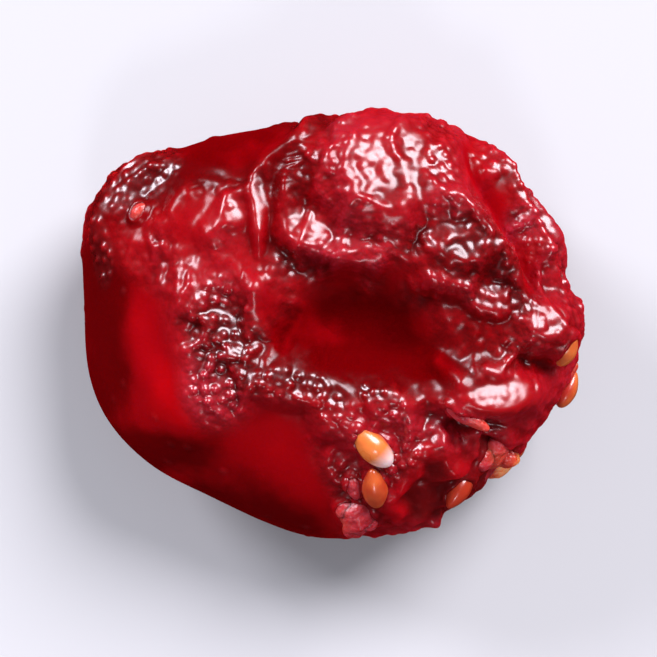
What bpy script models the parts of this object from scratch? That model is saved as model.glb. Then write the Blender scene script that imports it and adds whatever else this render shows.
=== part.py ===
"""One dried cranberry, as it comes out of the drier: a big berry that was slit at one end, infused
with sugar and dried until it went flat, folded and leathery. Its top has sunk into a smooth hollow
with a wrinkled rim round it, the lower left flank is still taut, a long fold runs down the right
side, and at the lower right the skin is torn, so that pulp and seeds stand out.

Everything is one solid, because the seeds and the scraps of pulp are stuck to the flesh.
The file is in metres. +Z is up and the berry lies on a small flat spot, with its origin at the
middle of its base. +X and +Y are right and up for someone who looks down on it.
"""

import math
import random

import bmesh
import bpy
import numpy as np
from mathutils import Matrix, Vector
from mathutils.bvhtree import BVHTree

MM = 0.001  # the sizes below are in millimetres

# Driving sizes
WAIST_HEIGHT = 3.9  # height of the widest outline above the flat spot
CROWN_RISE = 4.7  # how far the plain top stands above the waist
BELLY_DROP = 4.1  # how far the underside would reach below the waist without its flat spot
CALM_BELOW = 0.1  # height under which the folds have run out, so that the flat spot is whole
LEAST_ROUNDNESS = 1.7  # superellipse exponent of the flanks: 2 is an ellipse, more is boxier
ROUNDNESS_RISE = 2.3  # so much boxier on the steepest side
ROUNDNESS_FOCUS = 1.8  # how quickly that fades away from the steepest side
STEEPEST_AZIMUTH = 45.0
OUTLINE_STEP = 18.0  # degrees between the radii below
OUTLINE_RADII = (
    9.4, 9.0, 8.9, 9.1, 8.4, 8.0, 8.1, 9.0, 9.9, 10.1,
    9.7, 9.2, 8.5, 7.9, 7.8, 8.1, 8.4, 8.7, 8.5, 9.2,
)  # anticlockwise from +X

UNEVENNESS = 0.16  # how far the whole surface swells and sinks at random
UNEVENNESS_SIZE = 3.2  # how wide those swells are

SEED_SIDES = (1.85, 1.06, 0.95)  # length, width and thickness of the largest seed
FACE_BUDGET = 9000  # triangles of the flesh before seeds and scraps join it
SPHERE_LEVELS = 7
SOFTENING_ROUNDS = 2

# Ridges and creases of the top: name, points that the crest passes (x, y), half width, height.
# A crease has a negative height.
TOP_FOLDS = (
    (
        "rim_left",
        ((-4.6, 2.6), (-5.3, 1.0), (-5.4, -0.3), (-4.9, -1.7), (-4.2, -2.5), (-3.0, -2.8)),
        0.9,
        0.4,
    ),
    (
        "rim_below",
        ((-3.8, -2.4), (-2.4, -1.9), (-1.2, -1.8), (-0.2, -2.3), (0.3, -3.2), (0.4, -4.4)),
        0.8,
        0.5,
    ),
    ("rim_below_right", ((1.2, -2.2), (2.2, -2.6), (2.9, -3.3), (3.0, -4.2)), 0.6, 0.5),
    ("rim_inner", ((-2.6, 2.2), (-2.8, 0.8), (-2.7, -0.6)), 0.5, 0.5),
    (
        "long_ridge",
        ((0.4, 8.0), (-0.9, 6.9), (-2.2, 6.1), (-2.7, 5.2), (-2.55, 4.1), (-2.3, 2.9)),
        0.42,
        0.5,
    ),
    ("ridge_beside", ((-3.2, 5.4), (-3.6, 4.6), (-4.1, 3.7), (-5.0, 3.1)), 0.55, 0.35),
    ("shoulder_ridge", ((-4.9, 5.7), (-5.5, 4.8), (-5.9, 4.0), (-6.9, 3.4)), 0.55, 0.25),
    ("shoulder_edge", ((-5.9, 6.9), (-7.4, 5.8), (-8.4, 4.2), (-8.9, 2.6)), 0.75, 0.5),
    (
        "crescent",
        ((-0.7, 6.6), (-1.45, 5.6), (-1.6, 4.5), (-1.0, 3.4), (0.1, 2.7), (1.6, 2.6), (2.6, 2.9)),
        0.6,
        0.65,
    ),
    ("inner_fold_ridge", ((3.6, 5.6), (4.8, 4.6), (5.9, 3.4), (6.9, 2.0), (7.7, 0.8)), 0.45, 0.5),
    ("outer_rim", ((5.4, 7.6), (6.3, 6.2), (7.2, 4.6), (8.0, 3.0), (8.8, 1.0)), 0.35, 0.6),
    ("edge_ridge", ((6.1, 7.5), (7.0, 6.4), (7.8, 5.0), (8.6, 3.3), (9.2, 1.8)), 0.35, 0.55),
    ("zigzag_ridge", ((2.9, 1.9), (4.0, 1.7), (4.8, 1.5), (6.0, 1.0)), 0.4, 0.45),
    ("flank_edge", ((-7.9, 1.6), (-7.3, -0.4), (-6.2, -2.2), (-4.6, -3.7), (-3.0, -4.5)), 1.0, 0.4),
    ("slope_ridge", ((3.8, -1.0), (4.6, -1.7), (5.2, -2.0)), 0.4, 0.35),
    ("right_fold", ((4.7, 7.6), (5.6, 6.0), (6.5, 4.5), (7.2, 3.2), (7.8, 1.8), (8.5, 0.5)), 0.5, -0.6),
    (
        "split_beside_ridge",
        ((-0.9, 6.3), (-1.7, 5.6), (-1.95, 4.6), (-1.8, 3.4), (-1.1, 2.3), (0.2, 1.9)),
        0.4,
        -0.2,
    ),
    ("lobe_gap", ((3.3, 4.6), (3.4, 3.6), (3.0, 2.6)), 0.45, -0.3),
    ("gap_above_tear", ((1.6, -3.7), (3.7, -3.3), (5.2, -3.7), (6.9, -3.9)), 0.45, -0.45),
    ("right_gap", ((6.9, -1.0), (7.8, -1.3), (9.0, -1.6)), 0.4, -0.5),
)

# Lobes that stand up and hollows that have sunk: name, centre (x, y), half sizes, height
TOP_LOBES = (
    ("big_lobe", (1.5, 5.6), (2.9, 2.3), 1.1),
    ("hollow", (1.1, -0.1), (3.1, 1.9), -1.8),
    ("hollow_reach", (3.4, -1.4), (1.7, 1.2), -0.7),
    ("pit", (-3.8, 0.5), (0.7, 1.1), -0.45),
    ("right_lobe", (4.7, 2.9), (1.5, 1.2), 0.7),
    ("edge_lobe", (8.2, 0.0), (1.2, 1.1), 0.7),
    ("tear_lobe", (6.2, -2.4), (1.6, 0.9), 1.1),
    ("left_swell", (-4.6, 4.8), (2.0, 1.8), 0.4),
    ("flank_swell", (-5.8, -3.2), (2.6, 2.2), 0.4),
)

# Parts of the top that dried nearly flat: name, centre (x, y), half sizes, slope in degrees, the way
# that it slopes down, how far it is raised
TOP_FACES = (
    ("big_lobe", (2.2, 6.0), (2.0, 2.1), 24, 55, 0.1),
    ("crescent", (-0.9, 3.8), (1.0, 0.9), 24, 55, 0.0),
    ("long_ridge_side", (-3.5, 4.4), (0.5, 0.7), 18, 55, 0.0),
    ("right_lobe", (5.0, 3.2), (1.2, 0.9), 15, 60, 0.0),
    ("zigzag_foot", (6.1, 1.1), (0.9, 0.7), 24, 55, 0.1),
    ("left_plateau", (-3.9, -0.9), (1.5, 2.3), 8, 45, 0.15),
    ("lower_rim", (-1.0, -2.3), (1.5, 0.7), 10, 55, 0.1),
    ("below_right", (2.5, -2.9), (0.6, 0.7), 10, 55, 0.1),
    ("edge_lobe", (8.3, 0.3), (0.7, 0.7), 28, 50, 0.0),
    ("tear_lobe", (6.4, -2.45), (1.6, 0.8), 24, 55, 0.15),
    ("left_shoulder", (-7.2, 6.0), (1.2, 1.0), 22, 135, 0.0),
)
FACE_SHARE = 0.8  # how nearly flat they are

# Creases of the flank and the underside: azimuth and elevation of their points, half width, height
SIDE_CREASES = (
    (((96, 22), (92, 2), (84, -28), (70, -60)), 0.6, -0.7),
    (((128, 8), (134, -16), (150, -44)), 0.7, -0.6),
    (((176, -12), (188, -34), (214, -62)), 0.7, -0.6),
    (((226, -20), (238, -42), (262, -66)), 0.6, -0.5),
    (((20, 4), (26, -18), (40, -46)), 0.6, -0.8),
    (((58, 10), (52, -14), (56, -40)), 0.6, -0.6),
    (((352, -14), (344, -38), (320, -62)), 0.6, -0.7),
    (((292, -24), (284, -46), (300, -70)), 0.6, -0.6),
)

# The torn end: pulp stands back from the skin's edge and is rough
TEAR_MIDDLE = (4.8, -5.6, 4.6)  # x, y and height of its middle
TEAR_HALF_SIZE = (3.1, 2.3, 3.2)
TEAR_DEPTH = 0.3
TEAR_ROUGHNESS = 0.2

# Winding wrinkles: spacing, crest height, how narrow the crests are and seed, coarse ones first
WRINKLES = ((2.1, 0.20, 0.45, 21), (1.15, 0.15, 0.5, 34))
TAUT_EDGE = (  # left of and below this line, in plan, the skin stayed smooth
    (-14.0, 3.4), (-8.0, 2.6), (-5.9, 1.4), (-5.5, -0.8), (-4.8, -2.4), (-3.6, -3.1),
    (-2.2, -2.9), (-0.9, -3.5), (-0.3, -4.6), (0.2, -6.0), (0.6, -8.0), (1.0, -14.0),
)
TAUT_BLEND = 1.8  # width over which the wrinkles fade towards it
# Areas of the top with hardly any wrinkles: name, centre (x, y), half sizes
CALM_AREAS = (
    ("hollow", (1.1, 0.0), (2.4, 1.5)),
    ("hollow_reach", (3.6, -1.5), (1.2, 0.9)),
    ("right_fold_top", (5.5, 6.1), (0.35, 0.8)),
    ("right_fold_middle", (6.5, 4.4), (0.35, 0.8)),
    ("right_fold_foot", (7.5, 2.4), (0.35, 0.8)),
    ("upper_left", (-3.7, 6.8), (1.9, 0.9)),
    ("left_swell", (-5.2, 4.3), (1.0, 1.3)),
)

# Seeds and scraps of pulp or torn skin. First where: (x, y) for what shows from above, azimuth in
# degrees and height for the flank. Then the way that the seed's point or the scrap's length heads
# and its pitch, both in degrees, a seed's size as a share of the largest, and how far the middle
# lies outside the flesh. A scrap has its half sizes before its heading.
TOP_SEEDS = (
    (1.72, -4.37, 132, 4, 1.0, 0.22),
    (1.75, -6.10, 100, 8, 0.88, 0.12),
    (5.00, -6.10, 235, 10, 0.85, 0.05),
)
FLANK_SEEDS = (
    (355.3, 5.0, 95, 0, 0.9, 0.05),
    (345.5, 3.9, 50, 10, 0.8, 0.3),
    (296.0, 2.4, 195, -10, 0.95, 0.05),
    (327.0, 2.4, 130, 25, 0.9, 0.05),
)
TOP_SCRAPS = (
    (1.05, -7.10, (0.85, 0.68, 0.50), 260, 10, 0.18),
    (0.95, -6.00, (0.50, 0.30, 0.25), 280, 0, 0.0),
    (3.20, -6.55, (1.50, 0.95, 0.40), 10, -10, 0.0),
    (6.55, -4.85, (1.05, 0.85, 0.60), 310, 0, 0.4),
    (5.90, -4.20, (0.60, 0.40, 0.30), 20, 0, 0.05),
    (5.35, -3.40, (0.95, 0.30, 0.30), 325, 0, 0.05),
    (3.95, -4.90, (0.80, 0.55, 0.35), 70, 0, -0.1),
    (4.80, -5.50, (0.75, 0.50, 0.35), 130, 0, -0.1),
    (-7.20, 4.40, (0.40, 0.30, 0.25), 60, 0, 0.05),
)
FLANK_SCRAPS = (
    (349.5, 4.6, (0.60, 0.40, 0.35), 60, 20, 0.0),
    (309.0, 2.6, (0.90, 0.60, 0.40), 30, 0, 0.0),
    (318.0, 3.9, (0.80, 0.50, 0.40), 80, 0, 0.0),
)


def smooth_step(value):
    """0 below 0, 1 above 1, and an even curve between."""
    value = np.clip(value, 0.0, 1.0)
    return value * value * (3.0 - 2.0 * value)


def curve_through(before, start, end, after, t):
    """A smooth curve from start to end, at shares t of the way."""
    return 0.5 * (
        2.0 * start
        + (end - before) * t
        + (2.0 * before - 5.0 * start + 4.0 * end - after) * t**2
        + (3.0 * start - before - 3.0 * end + after) * t**3
    )


def outline_radius(azimuth):
    """Radius of the outline at these azimuths, in degrees, on a closed smooth curve."""
    radii = np.array(OUTLINE_RADII)
    place = np.asarray(azimuth, float) / OUTLINE_STEP
    index = np.floor(place).astype(int)
    around = [radii[(index + k) % len(radii)] for k in (-1, 0, 1, 2)]
    return curve_through(*around, place - index)


def plain_roundness(azimuth):
    """The superellipse exponent at these azimuths, in degrees."""
    nearness = 0.5 + 0.5 * np.cos(np.radians(azimuth - STEEPEST_AZIMUTH))
    return LEAST_ROUNDNESS + ROUNDNESS_RISE * nearness**ROUNDNESS_FOCUS


def plain_surface(azimuth, elevation):
    """Points of the berry without its folds, for azimuths and elevations in degrees."""
    power = 2.0 / plain_roundness(azimuth)
    rise = np.sin(np.radians(elevation))
    spread = outline_radius(azimuth) * np.cos(np.radians(elevation)).clip(0.0) ** power
    reach = np.where(rise > 0.0, CROWN_RISE, BELLY_DROP)
    height = WAIST_HEIGHT + reach * np.sign(rise) * np.abs(rise) ** power
    turn = np.radians(azimuth)
    return np.stack([spread * np.cos(turn), spread * np.sin(turn), height], axis=-1)


def top_point(x, y):
    """Azimuth and elevation of the point of the plain top that lies over (x, y)."""
    azimuth = math.degrees(math.atan2(y, x)) % 360.0
    share = min(0.999, math.hypot(x, y) / float(outline_radius(azimuth)))
    return azimuth, math.degrees(math.acos(share ** (plain_roundness(azimuth) / 2.0)))


def smooth_path(corners, spacing=0.15):
    """Points about this far apart on a smooth curve through the corners."""
    corners = np.array(corners, float)
    padded = np.vstack([2 * corners[0] - corners[1], corners, 2 * corners[-1] - corners[-2]])
    pieces = []
    for before, start, end, after in zip(padded, padded[1:], padded[2:], padded[3:]):
        count = max(2, math.ceil(np.linalg.norm(end - start) / spacing))
        pieces.append(curve_through(before, start, end, after, np.arange(count)[:, None] / count))
    return np.vstack([*pieces, corners[-1:]])


def fold_height(points, path, half_width, height):
    """How far a ridge or crease along the path lifts each point. It runs out at both ends."""
    lift = np.zeros(len(points))
    reach = 2.6 * half_width
    near = np.all((points > path.min(0) - reach) & (points < path.max(0) + reach), axis=1)
    if not near.any():
        return lift
    gaps = np.linalg.norm(points[near, None, :] - path[None, :, :], axis=2)
    along = gaps.argmin(1) / (len(path) - 1)
    ends = smooth_step(3.2 * np.minimum(along, 1.0 - along) + 0.1)
    lift[near] = height * ends * np.exp(-((gaps.min(1) / half_width) ** 2))
    return lift


def lobe_height(points, centre, half_sizes, height):
    """How far a lobe or hollow of the top lifts each point."""
    gap = (points[:, :2] - np.array(centre)) / np.array(half_sizes)
    top_side = smooth_step((points[:, 2] - WAIST_HEIGHT) / 1.5)
    return height * top_side * np.exp(-((gap**2).sum(1) ** 1.25))


def tear_gap(points):
    """About how far each point lies inside the torn end's ragged edge; negative outside it."""
    gap = (points - np.array(TEAR_MIDDLE)) / np.array(TEAR_HALF_SIZE)
    ragged = 0.10 * lumps(points, 1.1, seed=6) + 0.05 * lumps(points, 0.5, seed=7)
    return 2.6 * (0.95 + ragged - np.linalg.norm(gap, axis=1))


def lumps(points, size, seed):
    """A smooth random field, about -1 to 1, whose lumps are this size."""
    draw = random.Random(seed)
    total = np.zeros(len(points))
    waves = 14
    for _ in range(waves):
        way = np.array([draw.gauss(0, 1) for _ in range(3)])
        way *= (math.pi / size) * draw.uniform(0.7, 1.3) / np.linalg.norm(way)
        total += np.sin(points @ way + draw.uniform(0, 2 * math.pi))
    return total / math.sqrt(waves)


def tautness(points):
    """1 on the flank that stayed smooth, 0 on the wrinkled skin."""
    path = smooth_path(TAUT_EDGE, 0.4)
    gaps = points[:, None, :2] - path[None, :, :]
    nearest = (gaps**2).sum(2).argmin(1)
    run = np.gradient(path, axis=0)[nearest]
    gap = points[:, :2] - path[nearest]
    side = (gap[:, 1] * run[:, 0] - gap[:, 0] * run[:, 1]) / np.linalg.norm(run, axis=1)
    return smooth_step(0.45 - side / TAUT_BLEND)


def wrinkled_share(points):
    """1 where the skin is fully wrinkled, near 0 in the calm areas and on the taut flank."""
    share = 1.0 - 0.97 * tautness(points)
    for _, centre, half_sizes in CALM_AREAS:
        gap = (points[:, :2] - np.array(centre)) / np.array(half_sizes)
        calm = smooth_step((1.9 - np.linalg.norm(gap, axis=1)) / 1.2)
        share *= 1.0 - 0.9 * calm * smooth_step(points[:, 2] - WAIST_HEIGHT)
    return share


def wrinkle_lift(points):
    """Winding crests along the lines where a random field is zero, as on any dried berry."""
    lift = np.zeros(len(points))
    for spacing, height, narrowness, draw in WRINKLES:
        crest = np.exp(-((lumps(points, spacing, draw) / narrowness) ** 2))
        lift += height * (crest - 0.35)
    return lift * wrinkled_share(points)


def face_share(points, gap, half_sizes):
    """1 in the middle of a flat part of the top, 0 outside it."""
    share = smooth_step((1.4 - np.linalg.norm(gap / np.array(half_sizes), axis=1)) / 0.9)
    return share * smooth_step((points[:, 2] - WAIST_HEIGHT) / 1.5)


def path_on_top(corners):
    """A smooth path on the plain top that lies over these corners."""
    return smooth_path([plain_surface(*top_point(x, y)) for x, y in corners])


def folded_surface(points, normals):
    """Moves the plain surface's points out to the folded, torn surface."""
    lift = np.zeros(len(points))
    for _, corners, half_width, height in TOP_FOLDS:
        lift += fold_height(points, path_on_top(corners), half_width, height)
    for _, centre, half_sizes, height in TOP_LOBES:
        lift += lobe_height(points, centre, half_sizes, height)
    for corners, half_width, height in SIDE_CREASES:
        path = np.array([plain_surface(a, e) for a, e in corners])
        lift += fold_height(points, smooth_path(path), half_width, height)
    lift += UNEVENNESS * lumps(points, UNEVENNESS_SIZE, seed=3)
    free = smooth_step((points[:, 2] - CALM_BELOW) / 1.2)
    moved = points + normals * (lift * free)[:, None]
    for _, centre, half_sizes, slope, way, rise in TOP_FACES:
        gap = moved[:, :2] - np.array(centre)
        down = np.array((math.cos(math.radians(way)), math.sin(math.radians(way))))
        fall = math.tan(math.radians(slope)) * (gap @ down)
        share = face_share(points, gap, half_sizes)
        height = rise + np.average(moved[:, 2] + fall, weights=share)
        moved[:, 2] += FACE_SHARE * share * (height - fall - moved[:, 2])
    pulp = TEAR_ROUGHNESS * lumps(points, 0.8, seed=5) - TEAR_DEPTH
    lift = wrinkle_lift(points) + smooth_step(tear_gap(points) / 0.5) * pulp
    return moved + normals * (lift * free)[:, None]


def collection(name):
    made = bpy.data.collections.new(name)
    bpy.context.scene.collection.children.link(made)
    return made


def object_from(mesh_maker, name, into):
    """An object in a collection, from a bmesh that mesh_maker returns."""
    shape = mesh_maker()
    mesh = bpy.data.meshes.new(name)
    shape.to_mesh(mesh)
    shape.free()
    made = bpy.data.objects.new(name, mesh)
    into.objects.link(made)
    return made


def apply_modifier(target, name):
    """Replaces the object's mesh with what its modifiers make of it."""
    graph = bpy.context.evaluated_depsgraph_get()
    mesh = bpy.data.meshes.new_from_object(target.evaluated_get(graph))
    old = target.data
    target.modifiers.clear()
    target.data = mesh
    mesh.name = name
    bpy.data.meshes.remove(old)


def round_shape():
    shape = bmesh.new()
    bmesh.ops.create_icosphere(shape, subdivisions=SPHERE_LEVELS, radius=1.0)
    return shape


def make_flesh(into):
    """The berry itself: a sphere drawn to the plain form, folded, thinned out and given its flat spot."""
    flesh = object_from(round_shape, "dried_cranberry", into)
    mesh = flesh.data
    ways = np.empty(len(mesh.vertices) * 3, np.float32)
    mesh.vertices.foreach_get("co", ways)
    ways = ways.reshape(-1, 3).astype(float)
    azimuth = np.degrees(np.arctan2(ways[:, 1], ways[:, 0])) % 360.0
    elevation = np.degrees(np.arcsin(ways[:, 2].clip(-1.0, 1.0)))
    plain = plain_surface(azimuth, elevation)
    mesh.vertices.foreach_set("co", plain.astype(np.float32).ravel())
    mesh.update()
    normals = np.empty(len(mesh.vertices) * 3, np.float32)
    mesh.vertices.foreach_get("normal", normals)
    folded = folded_surface(plain, normals.reshape(-1, 3).astype(float))
    mesh.vertices.foreach_set("co", (folded * MM).astype(np.float32).ravel())
    mesh.update()
    softer = flesh.modifiers.new("softened", "SMOOTH")
    softer.factor = 0.5
    softer.iterations = SOFTENING_ROUNDS
    thinner = flesh.modifiers.new("fewer_faces", "DECIMATE")
    thinner.ratio = FACE_BUDGET / len(mesh.polygons)
    apply_modifier(flesh, "dried_cranberry")
    cut_flat_spot(flesh.data)
    return flesh


def cut_flat_spot(mesh):
    """Cuts the underside off level at z = 0 and closes it with one flat face."""
    shape = bmesh.new()
    shape.from_mesh(mesh)
    everything = shape.verts[:] + shape.edges[:] + shape.faces[:]
    cut = bmesh.ops.bisect_plane(
        shape, geom=everything, dist=1e-7, plane_co=(0, 0, 0), plane_no=(0, 0, -1), clear_outer=True
    )
    rim = [part for part in cut["geom_cut"] if isinstance(part, bmesh.types.BMEdge)]
    bmesh.ops.contextual_create(shape, geom=rim)
    bmesh.ops.triangulate(shape, faces=[face for face in shape.faces if len(face.verts) > 4])
    bmesh.ops.recalc_face_normals(shape, faces=shape.faces)
    shape.to_mesh(mesh)
    shape.free()


def seen_from_above(surface, x, y):
    """The point and normal of the flesh under (x, y)."""
    return surface.ray_cast(MM * Vector((x, y, 30.0)), Vector((0.0, 0.0, -1.0)))[:2]


def seen_from_the_side(surface, azimuth, height):
    """The point of the flesh at an azimuth, in degrees, and a height, and the way it faces."""
    turn = math.radians(azimuth)
    out = Vector((math.cos(turn), math.sin(turn), 0.0))
    spot, normal = surface.ray_cast(MM * (30.0 * out + Vector((0.0, 0.0, height))), -out)[:2]
    return spot, (normal + 1.5 * out).normalized()


def stick_on(blob, spot, normal, stands_out, half_sizes, heading, pitch):
    """Gives a unit sphere its half sizes and sets it on the flesh at a spot."""
    way = Vector((math.cos(math.radians(heading)), math.sin(math.radians(heading)), 0.0))
    way = (way - way.dot(normal) * normal).normalized()
    turn = Matrix((way, normal.cross(way), normal)).transposed().to_4x4()
    turn = turn @ Matrix.Rotation(math.radians(-pitch), 4, "Y")
    size = Matrix.Diagonal((*[MM * side for side in half_sizes], 1.0))
    blob.data.transform(Matrix.Translation(spot + MM * stands_out * normal) @ turn @ size)


def seed_shape():
    """A plump drop of about 36 triangles, pointed at one end."""
    shape = bmesh.new()
    bmesh.ops.create_uvsphere(shape, u_segments=6, v_segments=4, radius=1.0)
    bmesh.ops.rotate(shape, verts=shape.verts, matrix=Matrix.Rotation(math.radians(90), 3, "Y"))
    for vertex in shape.verts:
        narrowing = 1.0 - 0.26 * max(0.0, vertex.co.x) ** 1.4
        vertex.co.y *= narrowing
        vertex.co.z *= narrowing
    return shape


def scrap_shape():
    """A rounded scrap of pulp with a dent or two."""
    shape = bmesh.new()
    bmesh.ops.create_icosphere(shape, subdivisions=2, radius=1.0)
    for vertex in shape.verts:
        vertex.co *= 1.0 + 0.10 * math.sin(4.1 * vertex.co.x + 2.0) * math.cos(3.3 * vertex.co.y)
    return shape


def make_stuck_pieces(flesh, into):
    """The seeds and scraps, each its own object until they join the flesh."""
    surface = BVHTree.FromObject(flesh, bpy.context.evaluated_depsgraph_get())
    places = ((seen_from_above, TOP_SEEDS), (seen_from_the_side, FLANK_SEEDS))
    for find_spot, seeds in places:
        for *place, heading, pitch, size, stands_out in seeds:
            seed = object_from(seed_shape, "seed", into)
            spot, normal = find_spot(surface, *place)
            half_sizes = [size * side / 2 for side in SEED_SIDES]
            stick_on(seed, spot, normal, stands_out, half_sizes, heading, pitch)
    places = ((seen_from_above, TOP_SCRAPS), (seen_from_the_side, FLANK_SCRAPS))
    for find_spot, scraps in places:
        for *place, half_sizes, heading, pitch, stands_out in scraps:
            scrap = object_from(scrap_shape, "scrap", into)
            spot, normal = find_spot(surface, *place)
            stick_on(scrap, spot, normal, stands_out, half_sizes, heading, pitch)


def join_stuck_pieces(flesh, pieces):
    """One Boolean union of the flesh and all that is stuck to it."""
    union = flesh.modifiers.new("stuck_on", "BOOLEAN")
    union.operation = "UNION"
    union.operand_type = "COLLECTION"
    union.collection = pieces
    union.solver = "MANIFOLD"
    apply_modifier(flesh, "dried_cranberry")
    for piece in list(pieces.objects):
        bpy.data.objects.remove(piece)
    bpy.data.collections.remove(pieces)


def centre_on_base(flesh):
    """Moves the mesh so that the origin is at the middle of its base."""
    corners = [Vector(corner) for corner in flesh.bound_box]
    low = Vector([min(corner[k] for corner in corners) for k in range(3)])
    high = Vector([max(corner[k] for corner in corners) for k in range(3)])
    middle = (low + high) / 2
    flesh.data.transform(Matrix.Translation((-middle.x, -middle.y, -low.z)))


def dried_fruit_material():
    """Dark red, slightly sticky flesh."""
    material = bpy.data.materials.new("dried_cranberry_flesh")
    material.use_nodes = True
    shader = material.node_tree.nodes["Principled BSDF"]
    shader.inputs["Base Color"].default_value = (0.30, 0.008, 0.016, 1.0)
    shader.inputs["Roughness"].default_value = 0.3
    shader.inputs["Metallic"].default_value = 0.0
    return material


def build():
    for old in list(bpy.data.objects):
        bpy.data.objects.remove(old)
    berry = collection("dried_cranberry")
    stuck = collection("stuck_pieces")
    flesh = make_flesh(berry)
    make_stuck_pieces(flesh, stuck)
    join_stuck_pieces(flesh, stuck)
    centre_on_base(flesh)
    flesh.data.materials.clear()
    flesh.data.materials.append(dried_fruit_material())
    flesh.data.shade_smooth()
    flesh.data.set_sharp_from_angle(angle=math.radians(50))


build()
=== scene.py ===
import math
import random

import bmesh
import bpy
import numpy as np
from mathutils import Matrix, Vector
from mathutils.bvhtree import BVHTree
from mathutils.kdtree import KDTree


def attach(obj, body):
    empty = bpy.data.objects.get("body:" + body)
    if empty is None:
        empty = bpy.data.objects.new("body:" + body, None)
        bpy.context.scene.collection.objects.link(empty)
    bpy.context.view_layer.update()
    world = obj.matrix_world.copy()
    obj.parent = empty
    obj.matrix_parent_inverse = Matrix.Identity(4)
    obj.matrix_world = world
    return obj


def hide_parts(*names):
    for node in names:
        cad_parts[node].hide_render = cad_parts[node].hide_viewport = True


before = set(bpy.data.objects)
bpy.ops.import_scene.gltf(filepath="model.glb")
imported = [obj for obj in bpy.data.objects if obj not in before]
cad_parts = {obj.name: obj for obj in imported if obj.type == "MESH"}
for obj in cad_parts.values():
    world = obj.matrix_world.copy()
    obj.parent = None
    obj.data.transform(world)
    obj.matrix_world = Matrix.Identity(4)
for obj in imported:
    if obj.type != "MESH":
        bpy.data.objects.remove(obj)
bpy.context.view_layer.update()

# The flesh: one big cranberry, slit at one end, steeped in syrup and dried until it went flat.
# The skin has stayed whole but for the torn end, and has sunk onto the shrunken pulp in lobes,
# folds and fine wrinkles. The lower left flank is still taut. The sizes are in millimetres.

MM = 0.001
NODE = "dried_cranberry"
WAIST_HEIGHT = 3.9  # height of the widest outline above the flat spot
CROWN_RISE = 4.7
BELLY_DROP = 4.1
CALM_BELOW = 0.1  # the flat spot has no folds: they come in from here up
CALM_FADE = 1.2
TOP_FADE = 1.5  # the forms of the top come in over this height above the waist
SKIN_LUMPS = ((0.16, 3.2, 3),)  # height, size and draw of its slow unevenness
LEAST_ROUNDNESS = 1.7  # of the profile: 2 is an ellipse, and a higher value is squarer
ROUNDNESS_RISE = 2.3  # more than that on the steepest side
ROUNDNESS_FOCUS = 1.8
STEEPEST_AZIMUTH = 45.0
OUTLINE_STEP = 18.0
OUTLINE_RADII = (
    9.4, 9.0, 8.9, 9.1, 8.4, 8.0, 8.1, 9.0, 9.9, 10.1,
    9.7, 9.2, 8.5, 7.9, 7.8, 8.1, 8.4, 8.7, 8.5, 9.2,
)  # anticlockwise from +X

# Ridges and creases of the top: name, points that the crest passes (x, y), half width, height
FOLD_REACH = 2.6  # half widths from the crest to where a fold has run out
TOP_FOLDS = (
    ("rim_left",
     ((-4.6, 2.6), (-5.3, 1.0), (-5.4, -0.3), (-4.9, -1.7), (-4.2, -2.5), (-3.0, -2.8)), 0.9, 0.4),
    ("rim_below",
     ((-3.8, -2.4), (-2.4, -1.9), (-1.2, -1.8), (-0.2, -2.3), (0.3, -3.2), (0.4, -4.4)), 0.8, 0.5),
    ("rim_below_right", ((1.2, -2.2), (2.2, -2.6), (2.9, -3.3), (3.0, -4.2)), 0.6, 0.5),
    ("rim_inner", ((-2.6, 2.2), (-2.8, 0.8), (-2.7, -0.6)), 0.5, 0.5),
    ("long_ridge",
     ((0.4, 8.0), (-0.9, 6.9), (-2.2, 6.1), (-2.7, 5.2), (-2.55, 4.1), (-2.3, 2.9)), 0.42, 0.45),
    ("ridge_beside", ((-3.2, 5.4), (-3.6, 4.6), (-4.1, 3.7), (-5.0, 3.1)), 0.55, 0.35),
    ("shoulder_ridge", ((-4.9, 5.7), (-5.5, 4.8), (-5.9, 4.0), (-6.9, 3.4)), 0.55, 0.25),
    ("shoulder_edge", ((-5.9, 6.9), (-7.4, 5.8), (-8.4, 4.2), (-8.9, 2.6)), 0.75, 0.5),
    ("crescent",
     ((-0.7, 6.6), (-1.45, 5.6), (-1.6, 4.5), (-1.0, 3.4), (0.1, 2.7), (1.6, 2.6), (2.6, 2.9)),
     0.6, 0.65),
    ("inner_fold_ridge", ((3.6, 5.6), (4.8, 4.6), (5.9, 3.4), (6.9, 2.0), (7.7, 0.8)), 0.45, 0.5),
    ("outer_rim", ((5.4, 7.6), (6.3, 6.2), (7.2, 4.6), (8.0, 3.0), (8.8, 1.0)), 0.3, 0.6),
    ("edge_ridge", ((6.1, 7.5), (7.0, 6.4), (7.8, 5.0), (8.6, 3.3), (9.2, 1.8)), 0.3, 0.55),
    ("zigzag_ridge", ((2.9, 1.9), (4.0, 1.7), (4.8, 1.5), (6.0, 1.0)), 0.4, 0.45),
    ("flank_edge", ((-7.9, 1.6), (-7.3, -0.4), (-6.2, -2.2), (-4.6, -3.7), (-3.0, -4.5)), 1.0, 0.4),
    ("slope_ridge", ((3.8, -1.0), (4.6, -1.7), (5.2, -2.0)), 0.4, 0.35),
    ("right_fold",
     ((4.7, 7.6), (5.6, 6.0), (6.5, 4.5), (7.2, 3.2), (7.8, 1.8), (8.5, 0.5)), 0.5, -0.6),
    ("split_beside_ridge",
     ((-0.9, 6.3), (-1.7, 5.6), (-1.95, 4.6), (-1.8, 3.4), (-1.1, 2.3), (0.2, 1.9)), 0.38, -0.15),
    ("lobe_gap", ((3.3, 4.6), (3.4, 3.6), (3.0, 2.6)), 0.45, -0.3),
    ("gap_above_tear", ((1.6, -3.7), (3.7, -3.3), (5.2, -3.7), (6.9, -3.9)), 0.45, -0.45),
    ("right_gap", ((6.9, -1.0), (7.8, -1.3), (9.0, -1.6)), 0.4, -0.5),
)

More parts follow.
